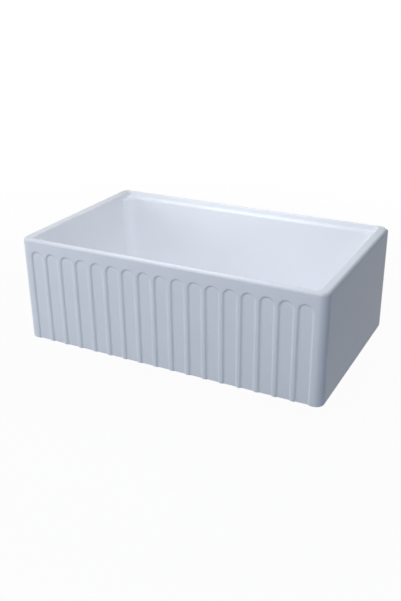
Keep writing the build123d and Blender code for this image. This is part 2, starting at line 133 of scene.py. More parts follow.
def flute_cell():
    """One flute and the plain strip round it, as (across, up, depth) on a fan-shaped grid.

    Its rows run up the left edge of the cell, over its top and down the right edge. Each
    row starts on the flute's spine, or at the arch's centre, and runs out to that edge.
    """
    half = FLUTE_PITCH / 2
    distance, depth = flute_section()
    shaft = np.linspace(FOOT, ARCH_Z, 9)
    side = np.linspace(ARCH_Z, ARCH_Z + half, 11)
    across = np.linspace(-half, half, 2 * len(distance) + 1)
    edge_up = np.concatenate([shaft, side[1:]])
    edge = np.concatenate([
        np.stack([np.full_like(edge_up, -half), edge_up], 1),
        np.stack([across, np.full_like(across, side[-1])], 1)[1:-1],
        np.stack([np.full_like(edge_up, half), edge_up], 1)[::-1],
    ])
    spine = np.stack([0 * edge[:, 0], np.minimum(edge[:, 1], ARCH_Z)], 1)
    way = edge - spine
    length = np.linalg.norm(way, axis=1, keepdims=True)
    share = np.concatenate([distance / length, np.ones_like(length)], 1)
    points = spine[:, None] + way[:, None] * share[:, :, None]
    depths = np.broadcast_to(np.append(depth, 0), share.shape)
    return np.concatenate([points, depths[:, :, None]], 2), across, edge_up


def joined(grid):
    """The grid with its first column again at its end, so that it closes."""
    return np.concatenate([grid, grid[:, :1]], 1)


def quads(rows, columns, first):
    """Corner numbers of the faces between the points of a grid."""
    grid = first + np.arange(rows * columns).reshape(rows, columns)
    faces = [grid[:-1, :-1], grid[:-1, 1:], grid[1:, 1:], grid[1:, :-1]]
    return np.stack(faces, -1).reshape(-1, 4)


WELD = 0.004                # points nearer than this are one
SLIVER = 0.001              # shorter edges go
SHARP = math.radians(38)    # edges that turn further are shaded sharp


def mesh_of(name, grids, body, material, replaced):
    """A piece from grids of points in millimetres, welded, with its faces outwards."""
    points, faces, first = [], [], 0
    for grid in grids:
        rows, columns = grid.shape[:2]
        points.append(grid.reshape(-1, 3))
        faces.append(quads(rows, columns, first))
        first += rows * columns
    mesh = bpy.data.meshes.new(name)
    mesh.from_pydata(np.concatenate(points) * MM, [], np.concatenate(faces))
    work = bmesh.new()
    work.from_mesh(mesh)
    bmesh.ops.remove_doubles(work, verts=work.verts, dist=WELD * MM)
    bmesh.ops.dissolve_degenerate(work, edges=work.edges, dist=SLIVER * MM)
    bmesh.ops.recalc_face_normals(work, faces=work.faces)
    work.to_mesh(mesh)
    work.free()
    mesh.shade_smooth()
    mesh.set_sharp_from_angle(angle=SHARP)
    piece = bpy.data.objects.new(name, mesh)
    bpy.context.scene.collection.objects.link(piece)
    mesh.materials.append(material)
    even = piece.modifiers.new("even shading", "WEIGHTED_NORMAL")
    even.keep_sharp = True
    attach(piece, body)
    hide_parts(*replaced)


def basin_grids():
    """The wall with its flutes, then one closed skin: rim, bowl, drain hole and foot."""
    cell, top_across, wall_up = flute_cell()
    distance, depth = flute_section()
    foot_across = np.concatenate(
        [top_across[:1], -distance[::-1], distance[1:], top_across[-1:]])
    centres = (np.arange(FLUTE_COUNT) - (FLUTE_COUNT - 1) / 2) * FLUTE_PITCH

    def face_y(x):
        """The front of the outline: the flat face, and a quarter circle past its ends."""
        past = np.maximum(np.abs(x) - (half_width - CORNER), 0)
        return CORNER - half_depth - np.sqrt(CORNER ** 2 - past ** 2)

    def all_targets(across):
        """A point on each column, from the left flute's left edge right round the basin.

        On plain walls the columns are about 15 mm apart, and at the corners 3 degrees.
        """
        x = (centres[:, None] + across[:-1]).ravel()
        x = np.append(x, centres[-1] + across[-1])
        front = np.stack([x, face_y(x)], 1)
        far = 100.0         # any distance: only the way to a point counts
        last = front[-1] - PIVOT * (1, -1)
        fan = np.linspace(math.atan2(-last[1], last[0]), 0, 19)
        turn = np.linspace(0, math.pi / 2, 29)
        side_y = np.linspace(-PIVOT[1], PIVOT[1], 25)
        back_x = np.linspace(PIVOT[0], 0, 21)
        right = np.concatenate([
            np.stack([PIVOT[0] + far * np.cos(fan), -PIVOT[1] - far * np.sin(fan)], 1)[1:],
            np.stack([0 * side_y + PIVOT[0] + far, side_y], 1)[1:],
            PIVOT + far * np.stack([np.cos(turn), np.sin(turn)], 1)[1:],
            np.stack([back_x, 0 * back_x + PIVOT[1] + far], 1)[1:],
        ])
        left = right[-2::-1] * (-1, 1)
        return np.concatenate([front, right, left])

    high_rays = rays_to(all_targets(top_across))
    foot_rays = rays_to(all_targets(foot_across))
    flutes_end = FLUTE_COUNT * (len(top_across) - 1)      # the last flute's right edge

    # wall: plain at the sides and back, fluted in front
    outline = plan(high_rays, 0, 0, CORNER)
    plain = np.concatenate([outline[flutes_end:], outline[:1]])
    wall = np.stack([
        np.concatenate([plain, np.full((len(plain), 1), z)], 1) for z in wall_up])
    flutes = []
    for x in centres:
        across = x + cell[:, :, 0]
        flutes.append(np.stack([across, face_y(across) + cell[:, :, 2], cell[:, :, 1]], 2))

    rows = []

    def row(points, z):
        """Add one round of the skin, a point on each column, at one or many heights."""
        z = np.broadcast_to(z, len(points))
        rows.append(np.concatenate([points, z[:, None]], 1))

    # rim
    quarter = np.linspace(0, math.pi / 2, 9)
    row(outline, wall_up[-1])
    for angle in quarter:
        inset = RIM_OUTER * (1 - math.cos(angle))
        row(plan(high_rays, inset, inset, CORNER - inset),
            rim_z - RIM_OUTER * (1 - math.sin(angle)))
    for angle in quarter[::-2]:
        out = RIM_INNER * (1 - math.cos(angle))
        row(plan(high_rays, SLOT_SIZE[0] - out, SLOT_SIZE[1] - out, SLOT_SIZE[2] + out),
            rim_z - RIM_INNER * (1 - math.sin(angle)))

    # ledges: along the side walls they have no width, so their curve becomes a plain wall
    ledge_z = rim_z - LEDGE_DROP
    nose_inset = LEDGE_NOSE * math.tan(BOWL_DRAFT)
    outer = plan(high_rays, *SLOT_SIZE)
    inner = plan(high_rays, BOWL_SIZE[0] + nose_inset, BOWL_SIZE[1] + nose_inset,
                 BOWL_SIZE[2] - nose_inset)
    width = np.linalg.norm(inner - outer, axis=1, keepdims=True)
    inward = (inner - outer) / np.maximum(width, 1e-9)
    crease = np.minimum(LEDGE_CREASE, width / 2)
    nose = np.minimum(LEDGE_NOSE, width / 2)
    for angle in quarter[::2]:
        row(outer + inward * crease * (1 - math.cos(angle)),
            ledge_z + LEDGE_CREASE * (1 - math.sin(angle)))
    for angle in quarter[::2]:
        row(outer + inward * (width - nose * (1 - math.sin(angle))),
            ledge_z - LEDGE_NOSE * (1 - math.cos(angle)))

    # bowl wall, its bend into the floor, and the floor's fall to the drain
    def bowl(inset, z):
        """A round of the bowl, set in from where its wall meets the ledges."""
        side, end, corner = BOWL_SIZE
        row(plan(high_rays, side + inset, end + inset, corner - inset), z)

    bend_z = FLOOR_Z + FLOOR_ROUND
    bend_inset = ((ledge_z - bend_z) * math.tan(BOWL_DRAFT)
                  + FLOOR_ROUND / math.cos(BOWL_DRAFT))
    for z in np.linspace(ledge_z - LEDGE_NOSE, bend_z, 6)[1:-1]:
        bowl((ledge_z - z) * math.tan(BOWL_DRAFT), z)
    for angle in np.linspace(BOWL_DRAFT, math.pi / 2, 12):
        bowl(bend_inset - FLOOR_ROUND * math.cos(angle),
             bend_z - FLOOR_ROUND * math.sin(angle))

    def dish(points):
        """Height of the floor: a quarter sine from the fall's inner to its outer radius."""
        near, far = FALL_RADII
        share = np.clip((np.linalg.norm(points, axis=1) - near) / (far - near), 0, 1)
        return FLOOR_Z - FLOOR_FALL * (1 - np.sin(share * math.pi / 2))

    floor_edge = rows[-1][:, :2]
    heading = floor_edge / np.linalg.norm(floor_edge, axis=1, keepdims=True)
    lip_radius = REBATE_RADIUS + DRAIN_EDGE
    for share in np.linspace(0, 1, 14)[1:]:
        points = floor_edge * (1 - share) + heading * lip_radius * share
        row(points, dish(points))
    lip_z = rows[-1][0, 2]
    for angle in quarter[2::2]:
        row(heading * (lip_radius - DRAIN_EDGE * math.sin(angle)),
            lip_z - DRAIN_EDGE * (1 - math.cos(angle)))

    # rebate, drain, bare seat
    for radius, z in (
            (REBATE_RADIUS, REBATE_Z + DRAIN_EDGE), (REBATE_RADIUS - DRAIN_EDGE, REBATE_Z),
            (DRAIN_RADIUS + DRAIN_EDGE, REBATE_Z), (DRAIN_RADIUS, REBATE_Z - DRAIN_EDGE),
            (DRAIN_RADIUS, SEAT_Z), (SEAT_RADIUS, SEAT_Z),
            (SEAT_RADIUS, DRAIN_EDGE), (SEAT_RADIUS + DRAIN_EDGE, 0)):
        row(heading * radius, z)

    # foot, which follows the flutes
    row(plan(foot_rays, FOOT_MARGIN, FOOT_MARGIN, CORNER - FOOT_MARGIN), 0)
    flute_depths = np.concatenate([[0], depth[::-1], depth[1:]])
    hollow = np.zeros((len(outline), 2))
    hollow[:flutes_end, 1] = np.tile(flute_depths, FLUTE_COUNT)
    for angle in quarter[::-2]:
        inset = FOOT * (1 - math.cos(angle))
        row(plan(foot_rays, inset, inset, CORNER - inset) + hollow,
            FOOT * (1 - math.sin(angle)))
    return [wall, *flutes, joined(np.stack(rows))]


def linear(hex_colour):
    """An sRGB hex colour as linear red, green, blue and alpha, by the sRGB curve."""
    parts = np.array([int(hex_colour[i:i + 2], 16) for i in (1, 3, 5)]) / 255
    low, high = parts / 12.92, ((parts + 0.055) / 1.055) ** 2.4
    return (*np.where(parts <= 0.04045, low, high), 1.0)


def add_node(tree, kind, *inputs, **named):
    """A node of one kind, with values or links for its sockets, in order or by name.

    A name in lower case is a property of the node.
    """
    node = tree.nodes.new("ShaderNode" + kind)
    for name in filter(str.islower, named):
        setattr(node, name, named[name])
    sockets = [socket for socket in node.inputs if socket.enabled]
    names = [socket.name.replace(" ", "_") for socket in sockets]
    values = dict(enumerate(inputs)) | {
        names.index(name): named[name] for name in named if not name.islower()}
    for index, value in values.items():
        if isinstance(value, bpy.types.NodeSocket):
            tree.links.new(value, sockets[index])
        else:
            sockets[index].default_value = value
    return node


def new_material(name):
    """An empty material, its node tree, and the object coordinates in metres."""
    material = bpy.data.materials.new(name)
    material.use_nodes = True
    tree = material.node_tree
    tree.nodes.clear()
    place = add_node(tree, "TexCoord").outputs["Object"]
    return material, tree, place


def finish_material(tree, surface):
    """The material's output, fed by its last shader."""
    add_node(tree, "OutputMaterial", Surface=surface.outputs[0])


def patches(size):
    """Scale of a noise whose patches are about this many millimetres wide: 1 / size."""
    return 1 / (size * MM)


def from_axis(tree, place):
    """Distance of each point from Z, in metres."""
    level = add_node(tree, "VectorMath", place, (1, 1, 0), operation="MULTIPLY")
    return add_node(tree, "VectorMath", level.outputs[0],
                    operation="LENGTH").outputs["Value"]


def glazed_fireclay():
    """White opaque glaze over fireclay: glossy and faintly wavy, as it flowed in the kiln.

    The foot and the seat of the waste are bare buff clay, rough and speckled. The edge of
    the glaze wanders, because it is wiped off by hand.
    """
    material, tree, place = new_material("glazed_fireclay")
    GLAZE, THIN_GLAZE, BISCUIT, GROG = "#EDF0F6", "#EAECF0", "#CFC4B2", "#B5A68F"
    cloud = add_node(tree, "TexNoise", Vector=place, Scale=patches(111), Detail=2.0)
    glaze = add_node(tree, "Mix", Factor=cloud.outputs["Fac"], A=linear(GLAZE),
                     B=linear(THIN_GLAZE), data_type="RGBA")
    speck = add_node(tree, "TexNoise", Vector=place, Scale=patches(2.4), Detail=3.0)
    clay = add_node(tree, "Mix", Factor=speck.outputs["Fac"], A=linear(BISCUIT),
                    B=linear(GROG), data_type="RGBA")
    # bare up to about half a millimetre high, along a line that wanders
    height = add_node(tree, "SeparateXYZ", place).outputs["Z"]
    wander = add_node(tree, "TexNoise", Vector=place, Scale=patches(28.5), Detail=3.0)
    wiped = add_node(tree, "Math", wander.outputs["Fac"], -1.6 * MM, height,
                     operation="MULTIPLY_ADD")
    foot = add_node(tree, "MapRange", Value=wiped.outputs[0], From_Min=-0.5 * MM,
                    From_Max=-0.2 * MM, To_Min=1.0, To_Max=0.0)
    # and on the seat, up to just above and just outside it
    under = add_node(tree, "MapRange", Value=height, From_Min=(SEAT_Z + 1) * MM,
                     From_Max=(SEAT_Z + 2) * MM, To_Min=1.0, To_Max=0.0)
    inside = add_node(tree, "MapRange", Value=from_axis(tree, place),
                      From_Min=(SEAT_RADIUS + 2) * MM, From_Max=(SEAT_RADIUS + 4) * MM,
                      To_Min=1.0, To_Max=0.0)
    seat = add_node(tree, "Math", under.outputs[0], inside.outputs[0],
                    operation="MULTIPLY")
    bare = add_node(tree, "Math", foot.outputs[0], seat.outputs[0], operation="MAXIMUM")
    colour = add_node(tree, "Mix", Factor=bare.outputs[0], A=glaze.outputs["Result"],
                      B=clay.outputs["Result"], data_type="RGBA")
    gloss = add_node(tree, "MapRange", Value=bare.outputs[0], To_Min=0.34, To_Max=0.9)
    sway = add_node(tree, "TexNoise", Vector=place, Scale=patches(71.4), Detail=1.0)
    peel = add_node(tree, "TexNoise", Vector=place, Scale=patches(3.85), Detail=1.0)
    slow = add_node(tree, "Bump", Strength=0.25, Distance=1.2 * MM,
                    Height=sway.outputs["Fac"])
    fine = add_node(tree, "Bump", Strength=0.06, Distance=0.25 * MM,
                    Height=peel.outputs["Fac"], Normal=slow.outputs["Normal"])
    finish_material(tree, add_node(
        tree, "BsdfPrincipled", Base_Color=colour.outputs["Result"],
        Roughness=gloss.outputs["Result"], IOR=1.45, Specular_IOR_Level=0.2,
        Normal=fine.outputs["Normal"]))
    return material


mesh_of("basin", basin_grids(), "sink", glazed_fireclay(),
        ["sink_body"])

# ============================================================== flange gasket
# A bed of black rubber between the strainer's flange and the glazed rebate. Doing up the
# lock nut squeezes it, so both of its edges bulge.


def rounded(corners, steps=4):
    """A closed outline through corners given as (radius, height, rounding).

    Each corner becomes an arc. It leaves the side before the corner at the rounding times
    the tangent of half the turn, and turns about a centre one rounding to the side. The
    last point is the first again.
    """
    corners = np.array(corners, float)
    point, rounding = corners[:, :2], corners[:, 2:]
    before = point - np.roll(point, 1, 0)
    before /= np.linalg.norm(before, axis=1, keepdims=True)
    after = np.roll(before, -1, 0)
    turn = np.arctan2(before[:, 0] * after[:, 1] - before[:, 1] * after[:, 0],
                      (before * after).sum(1))[:, None]
    start = point - before * rounding * np.tan(np.abs(turn) / 2)
    aside = np.stack([-before[:, 1], before[:, 0]], 1) * np.sign(turn) * rounding
    angle = turn * np.linspace(0, 1, steps + 1)
    spoke = -aside[:, None]
    arc = np.stack([spoke[..., 0] * np.cos(angle) - spoke[..., 1] * np.sin(angle),
                    spoke[..., 0] * np.sin(angle) + spoke[..., 1] * np.cos(angle)], 2)
    outline = ((start + aside)[:, None] + arc).reshape(-1, 2)
    return np.concatenate([outline, outline[:1]])


def turned(outline, segments=96):
    """An outline carried round Z: (radius cos a, radius sin a, height)."""
    angle = np.arange(segments) * 2 * math.pi / segments
    radius, height = outline[:, :1], outline[:, 1:]
    return joined(np.stack([radius * np.cos(angle), radius * np.sin(angle),
                            height + 0 * angle], 2))


def ring(node, inner, rounding):
    """A ring that fills its node's box, from the inner radius out, with round edges."""
    low, high = np.array(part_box(node)) / MM
    return turned(rounded([(inner, low[2], rounding), (high[1], low[2], rounding),
                           (high[1], high[2], rounding), (inner, high[2], rounding)]))


def black_rubber():
    """Moulded black rubber: near black, a satin skin with a dusty bloom and fine grain."""
    material, tree, place = new_material("black_rubber")
    RUBBER, BLOOM = "#1B1B1C", "#2C2C2E"
    bloom = add_node(tree, "TexNoise", Vector=place, Scale=patches(8), Detail=3.0)
    colour = add_node(tree, "Mix", Factor=bloom.outputs["Fac"], A=linear(RUBBER),
                      B=linear(BLOOM), data_type="RGBA")
    grain = add_node(tree, "TexNoise", Vector=place, Scale=patches(0.7), Detail=2.0)
    bump = add_node(tree, "Bump", Strength=0.3, Distance=0.1 * MM,
                    Height=grain.outputs["Fac"])
    finish_material(tree, add_node(
        tree, "BsdfPrincipled", Base_Color=colour.outputs["Result"], Roughness=0.55,
        IOR=1.52, Normal=bump.outputs["Normal"]))
    return material


rubber = black_rubber()
GASKET_BORE = 46.0
mesh_of("gasket", [ring("flange_gasket", GASKET_BORE, 0.55)], "sink",
        rubber, ["flange_gasket"])

# ============================================================== strainer body
# Drawn from one disc of stainless steel: a flange that lies flush with the floor, a cup,
# a conical seat for the rubber and a threaded outlet. Polished on a lathe inside, so fine
# lines run round it. Both threads are rolled.

SHEET = 1.5
FLANGE_RADIUS, FLANGE_TOP, FLANGE_UNDER = 57.0, 25.7, 24.2
FLANGE_CROWN = 0.5          # the flange's edge lies this much lower than its middle
FLANGE_SLOPE = 6.0          # width over which it falls
CUP_RADIUS, CUP_FLOOR = 43.0, -20.3
SEAT_MOUTH, SEAT_THROAT = 27.0, 22.0
SEAT_END = CUP_FLOOR - (SEAT_MOUTH - SEAT_THROAT)
OUTLET_RADIUS, OUTLET_BORE = 23.9, 20.0
SPIDER_STEP = -39.7
OUTLET_END = -50.8
THREAD_PITCH, THREAD_DEPTH = 2.0, 0.7
THREAD_STEP = 0.4           # between the mesh rows of a thread
TOUCH = 0.01                # radii that differ by less are the same
CUP_THREAD, OUTLET_THREAD = (-19.0, 0.0), (-49.8, -29.0)


def dense(outline, bands):
    """Divide the outline's upright sides at the bands' radii into steps for a thread."""
    outer = [radius for radius, _, _ in bands]
    side = np.roll(outline, -1, 0) - outline
    upright = np.abs(side[:, 0]) < TOUCH
    on_band = (np.abs(outline[:, :1] - outer) < TOUCH).any(1)
    rise = np.where(upright & on_band, np.abs(side[:, 1]), 0)
    steps = np.maximum((rise / THREAD_STEP).astype(int), 1)
    share = np.arange(steps.sum()) - np.repeat(np.cumsum(steps) - steps, steps)
    share = (share / np.repeat(steps, steps))[:, None]
    return np.repeat(outline, steps, 0) + np.repeat(side, steps, 0) * share


def threaded(grid, bands):
    """Cut helical grooves inwards: a cosine of the height over the pitch, less the turns.

    Each band is an outer radius and its two end heights, and the groove fades out there.
    """
    radius = np.hypot(grid[..., 0], grid[..., 1])
    turns = np.arctan2(grid[..., 1], grid[..., 0]) / (2 * math.pi)
    wave = (1 - np.cos(2 * math.pi * (grid[..., 2] / THREAD_PITCH - turns))) / 2
    share = np.ones_like(radius)
    for outer, low, high in bands:
        fade = np.clip(np.minimum(grid[..., 2] - low, high - grid[..., 2]), 0, 1)
        share -= THREAD_DEPTH * wave * fade * (np.abs(radius - outer) < TOUCH) / radius
    return grid * np.stack([share, share, np.ones_like(share)], 2)


def lathe_steel(name, hex_bright, hex_dull, roughness, line_height, line_width):
    """Steel finished on a lathe: rings of fine lines, read from radius and height.

    The lines are drawn as wide as they need to be to show. Their height and width are in
    millimetres.
    """
    material, tree, place = new_material(name)
    height = add_node(tree, "SeparateXYZ", place).outputs["Z"]
    rings = add_node(tree, "CombineXYZ", from_axis(tree, place), height)
    lines = add_node(tree, "TexNoise", Vector=rings.outputs[0],
                     Scale=patches(line_width), Detail=3.0)
    stain = add_node(tree, "TexNoise", Vector=place, Scale=patches(17), Detail=3.0)
    colour = add_node(tree, "Mix", Factor=stain.outputs["Fac"], A=linear(hex_bright),
                      B=linear(hex_dull), data_type="RGBA")
    gloss = add_node(tree, "MapRange", Value=stain.outputs["Fac"], From_Min=0.3,
                     From_Max=0.7, To_Min=roughness * 0.8, To_Max=roughness * 1.25)
    bump = add_node(tree, "Bump", Strength=0.4, Distance=line_height * MM,
                    Height=lines.outputs["Fac"])
    finish_material(tree, add_node(
        tree, "BsdfPrincipled", Base_Color=colour.outputs["Result"], Metallic=1.0,
        Roughness=gloss.outputs["Result"], Normal=bump.outputs["Normal"]))
    return material


polished_stainless = lathe_steel("polished_stainless", "#CFCECB", "#C0BFBC", 0.17,
                                 0.04, 1.1)
thread_bands = [(CUP_RADIUS, *CUP_THREAD), (OUTLET_RADIUS, *OUTLET_THREAD)]
strainer_outline = dense(rounded([
    (FLANGE_RADIUS, FLANGE_UNDER, 0.2),
    (FLANGE_RADIUS, FLANGE_TOP - FLANGE_CROWN, 0.5),
    (FLANGE_RADIUS - FLANGE_SLOPE, FLANGE_TOP, 8),
    (CUP_RADIUS - SHEET, FLANGE_TOP, 2 * SHEET),
    (CUP_RADIUS - SHEET, CUP_FLOOR, 4 * SHEET),
    (SEAT_MOUTH, CUP_FLOOR, 0.8),
    (SEAT_THROAT, SEAT_END, 0.5),
    (SEAT_THROAT, SPIDER_STEP, 0.1),
    (OUTLET_BORE, SPIDER_STEP, 0.3),
    (OUTLET_BORE, OUTLET_END, 0.4),
    (OUTLET_RADIUS, OUTLET_END, 0.5),
    (OUTLET_RADIUS, SEAT_END - SHEET, 0.8),
    (SEAT_MOUTH + SHEET, CUP_FLOOR - SHEET, 0.8),
    (CUP_RADIUS, CUP_FLOOR - SHEET, 5 * SHEET),
    (CUP_RADIUS, FLANGE_UNDER, SHEET),
]), thread_bands)
mesh_of("strainer", [threaded(turned(strainer_outline), thread_bands)], "sink",
        polished_stainless, ["strainer_body"])

# ============================================================== spider
# A ring, four arms and a hub stamped from stainless strip and pressed into the outlet.
# The hub grips the basket's pin. Its faces are dull from the press.

HUB_BORE, HUB_RADIUS, HUB_TOP = 4.3, 7.0, -31.7
ARM_WIDTH, ARM_HEIGHT = 3.6, 3.0
SPIDER_RADIUS, SPIDER_RING_BORE = 21.9, 19.3
ARM_COUNT = 4


def bar(width, height, low, start, end, angle, rounding):
    """A level bar with round edges, from one radius to another at an angle about Z.

    Its section is carried along the radius, and drawn in to its middle at both ends.
    """
    half = width / 2
    section = rounded([(-half, low, rounding), (half, low, rounding),
                       (half, low + height, rounding), (-half, low + height, rounding)], 2)
    middle = np.broadcast_to(section[:-1].mean(0), section.shape)
    across, up = np.stack([middle, section, section, middle]).transpose(2, 0, 1)
    along = np.array([[start], [start], [end], [end]]) + 0 * across
    return np.stack([along * math.cos(angle) - across * math.sin(angle),
                     along * math.sin(angle) + across * math.cos(angle), up], 2)


stamped_stainless = lathe_steel("stamped_stainless", "#BDBDBB", "#A9A9A6", 0.34,
                                0.03, 1.4)
arm_top = SPIDER_STEP + ARM_HEIGHT
spider_ring = turned(rounded([
    (SPIDER_RING_BORE, SPIDER_STEP, 0.3), (SPIDER_RADIUS, SPIDER_STEP, 0.3),
    (SPIDER_RADIUS, arm_top, 0.5), (SPIDER_RING_BORE, arm_top, 0.5)]))
spider_hub = turned(rounded([
    (HUB_BORE, SPIDER_STEP, 0.3), (HUB_RADIUS, SPIDER_STEP, 0.4),
    (HUB_RADIUS, HUB_TOP, 0.8), (HUB_BORE, HUB_TOP, 0.8)]), 48)
spider_arms = [bar(ARM_WIDTH, ARM_HEIGHT, SPIDER_STEP, (HUB_BORE + HUB_RADIUS) / 2,
                   (SPIDER_RING_BORE + SPIDER_RADIUS) / 2, angle, 0.4)
               for angle in np.arange(ARM_COUNT) * 2 * math.pi / ARM_COUNT]
mesh_of("spider_cross", [spider_ring, spider_hub, *spider_arms], "sink",
        stamped_stainless, ["spider"])

# ============================================================== washers under the floor
# A thick rubber washer seals against the bare fireclay. A thin grey-brown ring of pressed
# fibre under it lets the nut turn without dragging the rubber round.

NUT_BORE = 43.3


def fibre_board():
    """Vulcanised fibre: grey-brown, matt, flecked with pressed rag fibres."""
    material, tree, place = new_material("fibre_board")
    FIBRE, FLECK = "#8A7156", "#5E4A38"
    fleck = add_node(tree, "TexNoise", Vector=place, Scale=patches(1.4), Detail=4.0)
    colour = add_node(tree, "Mix", Factor=fleck.outputs["Fac"], A=linear(FIBRE),
                      B=linear(FLECK), data_type="RGBA")
    bump = add_node(tree, "Bump", Strength=0.4, Distance=0.1 * MM,
                    Height=fleck.outputs["Fac"])
    finish_material(tree, add_node(
        tree, "BsdfPrincipled", Base_Color=colour.outputs["Result"], Roughness=0.8,
        Normal=bump.outputs["Normal"]))
    return material


mesh_of("floor_washer", [ring("under_washer", NUT_BORE, 0.7)], "sink",
        rubber, ["under_washer"])
mesh_of("slip_ring", [ring("friction_ring", NUT_BORE, 0.12)], "sink",
        fibre_board(), ["friction_ring"])

# ============================================================== lock nut
# A ring nut die cast in zinc with six lugs for a spanner. The cast skin is a soft matt
# grey, with a slight orange peel, and every edge is round so that it leaves the die.

LOCK_NUT_LOW, LOCK_NUT_HIGH = -12.8, 1.2
LOCK_NUT_RADIUS, LOCK_NUT_SKIRT = 49.8, 52.3
SKIRT_HEIGHT = 3.5
LUG_COUNT = 6
LUG_TIP, LUG_WIDTH, LUG_HEIGHT = 54.8, 12.0, 11.2
LUG_ROOT = LOCK_NUT_RADIUS - 3   # inside the ring that carries it
LUG_CORNER, LUG_EDGE = 3.0, 0.8


def lug(angle):
    """A round-cornered block: its plan shrinks by a quarter arc at the top and bottom.

    Its first and last rows shrink to the plan's middle, which closes it.
    """
    outline = rounded([
        (LUG_ROOT, -LUG_WIDTH / 2, 0.3), (LUG_TIP, -LUG_WIDTH / 2, LUG_CORNER),
        (LUG_TIP, LUG_WIDTH / 2, LUG_CORNER), (LUG_ROOT, LUG_WIDTH / 2, 0.3)], 6)
    middle = outline[:-1].mean(0)
    arc = np.linspace(0, math.pi / 2, 4)
    shrink = LUG_EDGE * (1 - np.cos(arc))
    rise = LUG_EDGE * (1 - np.sin(arc))
    low = LOCK_NUT_HIGH - LUG_HEIGHT
    shrink = np.concatenate([[np.inf], shrink[::-1], shrink, [np.inf]])
    height = np.concatenate(
        [[low], low + rise[::-1], LOCK_NUT_HIGH - rise, [LOCK_NUT_HIGH]])
    offset = outline - middle
    share = np.maximum(1 - shrink[:, None] / np.linalg.norm(offset, axis=1), 0)
    x, y = (middle + offset * share[:, :, None]).transpose(2, 0, 1)
    return np.stack([x * math.cos(angle) - y * math.sin(angle),
                     x * math.sin(angle) + y * math.cos(angle),
                     height[:, None] + 0 * x], 2)


def cast_zinc():
    """Die-cast zinc: matt blue-grey with a slightly pebbled skin and darker clouds."""
    material, tree, place = new_material("cast_zinc")
    ZINC, TARNISH = "#A3A6AA", "#85888D"
    cloud = add_node(tree, "TexNoise", Vector=place, Scale=patches(11), Detail=4.0)
    pebble = add_node(tree, "TexNoise", Vector=place, Scale=patches(1.2), Detail=2.0)
    colour = add_node(tree, "Mix", Factor=cloud.outputs["Fac"], A=linear(ZINC),
                      B=linear(TARNISH), data_type="RGBA")
    bump = add_node(tree, "Bump", Strength=0.5, Distance=0.1 * MM,
                    Height=pebble.outputs["Fac"])
    finish_material(tree, add_node(
        tree, "BsdfPrincipled", Base_Color=colour.outputs["Result"], Metallic=1.0,
        Roughness=0.5, Normal=bump.outputs["Normal"]))
    return material


skirt_low = LOCK_NUT_HIGH - SKIRT_HEIGHT
nut_ring = turned(rounded([
    (NUT_BORE, LOCK_NUT_LOW, 0.5), (LOCK_NUT_RADIUS, LOCK_NUT_LOW, 1.5),
    (LOCK_NUT_RADIUS, skirt_low, 0.8), (LOCK_NUT_SKIRT, skirt_low, 0.5),
    (LOCK_NUT_SKIRT, LOCK_NUT_HIGH, 0.6), (NUT_BORE, LOCK_NUT_HIGH, 0.4)]), 128)
lugs = [lug(angle) for angle in np.arange(LUG_COUNT) * 2 * math.pi / LUG_COUNT]
mesh_of("lug_nut", [nut_ring, *lugs], "sink", cast_zinc(), ["lock_nut"])

# ============================================================== tailpiece
# A drawn brass tube with a turned-out flange, plated with bright chrome. A white nylon
# washer seals it against the outlet, and a hexagon slip nut of the same brass holds it.

TAIL_BORE, TAIL_RADIUS, TAIL_FLANGE = 17.65, 19.05, 22.95
TAIL_TOP, TAIL_FLANGE_UNDER, TAIL_END = -52.8, -54.3, -122.8
COUPLING_HALF = 28.5        # half of the width across flats
COUPLING_TOP, COUPLING_LOW = -36.8, -56.8
COUPLING_BORE, COUPLING_MOUTH = 24.2, 20.05
COUPLING_CHAMFER = 2.6


def hexagon_nut(half, bore, mouth, seat, low, high, chamfer, segments=144):
    """A hexagon nut about Z with a chamfer turned on both ends.

    Its radius is half the width across flats over the cosine of the angle to the nearest
    flat's middle, or the radius of the chamfer's cone where that is less. The cone leaves
    the end just inside the flats, and is 1.75 mm wider for each millimetre of height.
    """
    angle = np.arange(segments) * 2 * math.pi / segments
    flat = half / np.cos(angle % (math.pi / 3) - math.pi / 6)
    rise = chamfer * np.linspace(0, 1, 7)
    cone = half * 0.985 + 1.75 * np.concatenate([rise, rise[::-1]])
    outside = np.minimum(flat, cone[:, None])
    steps = 3
    whole = rounded([(half, low, 0), (half, high, 0), (bore, high, 0.4),
                     (bore, seat, 0.1), (mouth, seat, 0.1), (mouth, low, 0.4)], steps)
    inside = whole[2 * (steps + 1):-1]      # the flats take the place of two corners
    radius = np.concatenate([outside, inside[:, :1] + 0 * angle, outside[:1]])
    height = np.concatenate([low + rise, high - rise[::-1], inside[:, 1], [low]])
    return joined(np.stack([radius * np.cos(angle), radius * np.sin(angle),
                            height[:, None] + 0 * radius], 2))


def chromed_brass():
    """Bright chrome plate over polished brass: a cold mirror with faint water spots."""
    material, tree, place = new_material("chromed_brass")
    CHROME, SPOT = "#C9CCD0", "#B6B9BD"
    spot = add_node(tree, "TexNoise", Vector=place, Scale=patches(7), Detail=2.0)
    colour = add_node(tree, "Mix", Factor=spot.outputs["Fac"], A=linear(CHROME),
                      B=linear(SPOT), data_type="RGBA")
    gloss = add_node(tree, "MapRange", Value=spot.outputs["Fac"], From_Min=0.35,
                     From_Max=0.65, To_Min=0.05, To_Max=0.1)
    bump = add_node(tree, "Bump", Strength=0.1, Distance=0.1 * MM,
                    Height=spot.outputs["Fac"])
    finish_material(tree, add_node(
        tree, "BsdfPrincipled", Base_Color=colour.outputs["Result"], Metallic=1.0,
        Roughness=gloss.outputs["Result"], Normal=bump.outputs["Normal"]))
    return material


